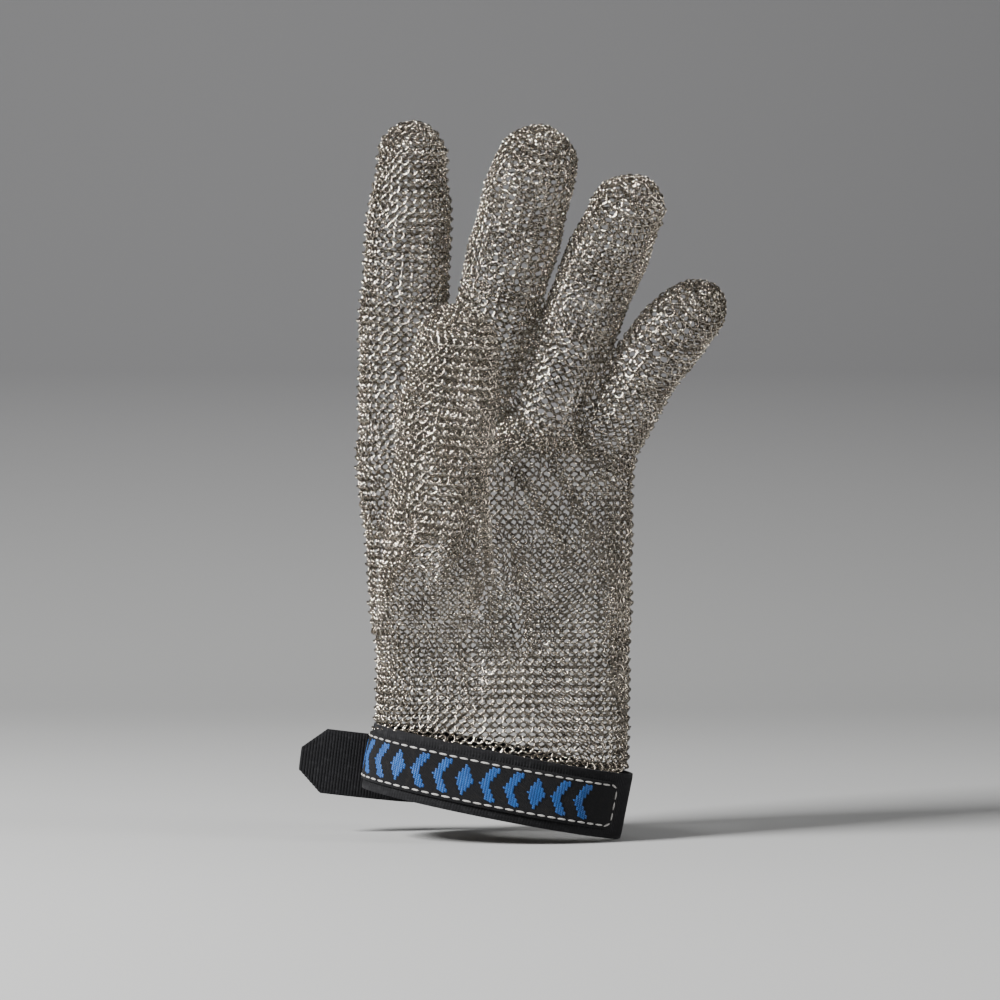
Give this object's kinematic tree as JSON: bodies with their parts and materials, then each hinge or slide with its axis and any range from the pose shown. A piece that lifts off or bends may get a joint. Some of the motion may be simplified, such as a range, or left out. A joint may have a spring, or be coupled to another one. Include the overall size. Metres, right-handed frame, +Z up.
{
  "type": "cut resistant glove",
  "caption": "Left-hand ring-mail glove with jointed finger shells, a woven wrist band, a label, and a strap closed by a press stud.",
  "frame": {"origin": "centre of the cuff's lower opening, where the wearer's wrist holds the glove", "axes": "+Z up towards the fingertips, -Y out of the palm, +X towards the little finger"},
  "size_m": [0.1623, 0.0978, 0.2721],
  "materials": {
    "steel_mail": "interlinked stainless steel wire rings, bright",
    "black_webbing": "matt ribbed woven polyester webbing",
    "black_lining": "matt woven lining tape",
    "woven_label": "black woven label with a blue woven motif and white stitching",
    "plated_stud": "nickel-plated press stud"
  },
  "bodies": {
    "cuff": {"cuff_band": "black_webbing", "cuff_lining": "black_lining", "cuff_label": "woven_label", "gauntlet_mail": "steel_mail", "strap_anchor": "black_webbing", "snap_stud": "plated_stud", "snap_eyelet": "plated_stud"},
    "hand": {"palm_mail": "steel_mail"},
    "index_base": {"index_base_mail": "steel_mail"},
    "index_middle": {"index_middle_mail": "steel_mail"},
    "index_tip": {"index_tip_mail": "steel_mail"},
    "middle_base": {"middle_base_mail": "steel_mail"},
    "middle_middle": {"middle_middle_mail": "steel_mail"},
    "middle_tip": {"middle_tip_mail": "steel_mail"},
    "ring_base": {"ring_base_mail": "steel_mail"},
    "ring_middle": {"ring_middle_mail": "steel_mail"},
    "ring_tip": {"ring_tip_mail": "steel_mail"},
    "little_base": {"little_base_mail": "steel_mail"},
    "little_middle": {"little_middle_mail": "steel_mail"},
    "little_tip": {"little_tip_mail": "steel_mail"},
    "thumb_base": {"thumb_base_mail": "steel_mail"},
    "thumb_tip": {"thumb_tip_mail": "steel_mail"},
    "strap": {"strap_web": "black_webbing", "snap_socket": "plated_stud", "snap_cap": "plated_stud"},
    "strap_tail": {"strap_tail_web": "black_webbing"}
  },
  "joints": [
    {"name": "wrist_bend", "type": "hinge", "parent": "cuff", "child": "hand", "pos_m": [0.0044, 0, 0.056], "axis": [1, 0, 0], "range_deg": [-30, 18]},
    {"name": "index_knuckle", "type": "hinge", "parent": "hand", "child": "index_base", "pos_m": [-0.036, 0.004, 0.148], "axis": [0.9981, 0, -0.061], "range_deg": [-5, 35]},
    {"name": "index_middle_joint", "type": "hinge", "parent": "index_base", "child": "index_middle", "pos_m": [-0.03313, 0.00236, 0.19488], "axis": [0.9981, 0, -0.061], "range_deg": [-12, 75]},
    {"name": "index_end_joint", "type": "hinge", "parent": "index_middle", "child": "index_tip", "pos_m": [-0.0312, -0.00209, 0.22651], "axis": [0.9981, 0, -0.061], "range_deg": [-15, 85]},
    {"name": "middle_knuckle", "type": "hinge", "parent": "hand", "child": "middle_base", "pos_m": [-0.007, 0.007, 0.155], "axis": [0.971, 0.0523, -0.2331], "range_deg": [-15, 26]},
    {"name": "middle_middle_joint", "type": "hinge", "parent": "middle_base", "child": "middle_middle", "pos_m": [0.00494, -0.00508, 0.20203], "axis": [0.971, 0.0523, -0.2331], "range_deg": [-20, 55]},
    {"name": "middle_end_joint", "type": "hinge", "parent": "middle_middle", "child": "middle_tip", "pos_m": [0.01259, -0.02307, 0.22984], "axis": [0.971, 0.0523, -0.2331], "range_deg": [-20, 78]},
    {"name": "ring_knuckle", "type": "hinge", "parent": "hand", "child": "ring_base", "pos_m": [0.02, 0.007, 0.147], "axis": [0.9492, 0.1219, -0.2902], "range_deg": [-20, 50]},
    {"name": "ring_middle_joint", "type": "hinge", "parent": "ring_base", "child": "ring_middle", "pos_m": [0.03476, -0.00742, 0.18923], "axis": [0.9492, 0.1219, -0.2902], "range_deg": [-20, 65]},
    {"name": "ring_end_joint", "type": "hinge", "parent": "ring_middle", "child": "ring_tip", "pos_m": [0.04483, -0.02667, 0.21407], "axis": [0.9492, 0.1219, -0.2902], "range_deg": [-20, 65]},
    {"name": "little_knuckle", "type": "hinge", "parent": "hand", "child": "little_base", "pos_m": [0.042, 0.004, 0.1365], "axis": [0.8517, 0.4226, -0.31], "range_deg": [-3, 55]},
    {"name": "little_middle_joint", "type": "hinge", "parent": "little_base", "child": "little_middle", "pos_m": [0.05803, -0.00468, 0.1687], "axis": [0.8517, 0.4226, -0.31], "range_deg": [-25, 70]},
    {"name": "little_end_joint", "type": "hinge", "parent": "little_middle", "child": "little_tip", "pos_m": [0.07027, -0.01746, 0.18491], "axis": [0.8517, 0.4226, -0.31], "range_deg": [-25, 65]},
    {"name": "thumb_knuckle", "type": "hinge", "parent": "hand", "child": "thumb_base", "pos_m": [-0.021, -0.036, 0.108], "axis": [0.9925, 0, -0.1219], "range_deg": [-5, 50]},
    {"name": "thumb_end_joint", "type": "hinge", "parent": "thumb_base", "child": "thumb_tip", "pos_m": [-0.01593, -0.04185, 0.14928], "axis": [0.9925, 0, -0.1219], "range_deg": [-15, 60]},
    {"name": "strap_open", "type": "hinge", "parent": "cuff", "child": "strap", "pos_m": [0.03833, 0.02339, 0.00554], "axis": [-0.1219, 0, -0.9925], "range_deg": [0, 65]},
    {"name": "tail_bend", "type": "hinge", "parent": "strap", "child": "strap_tail", "pos_m": [-0.03432, 0.02546, 0.01446], "axis": [-0.1219, 0, -0.9925], "range_deg": [-25, 45]}
  ]
}
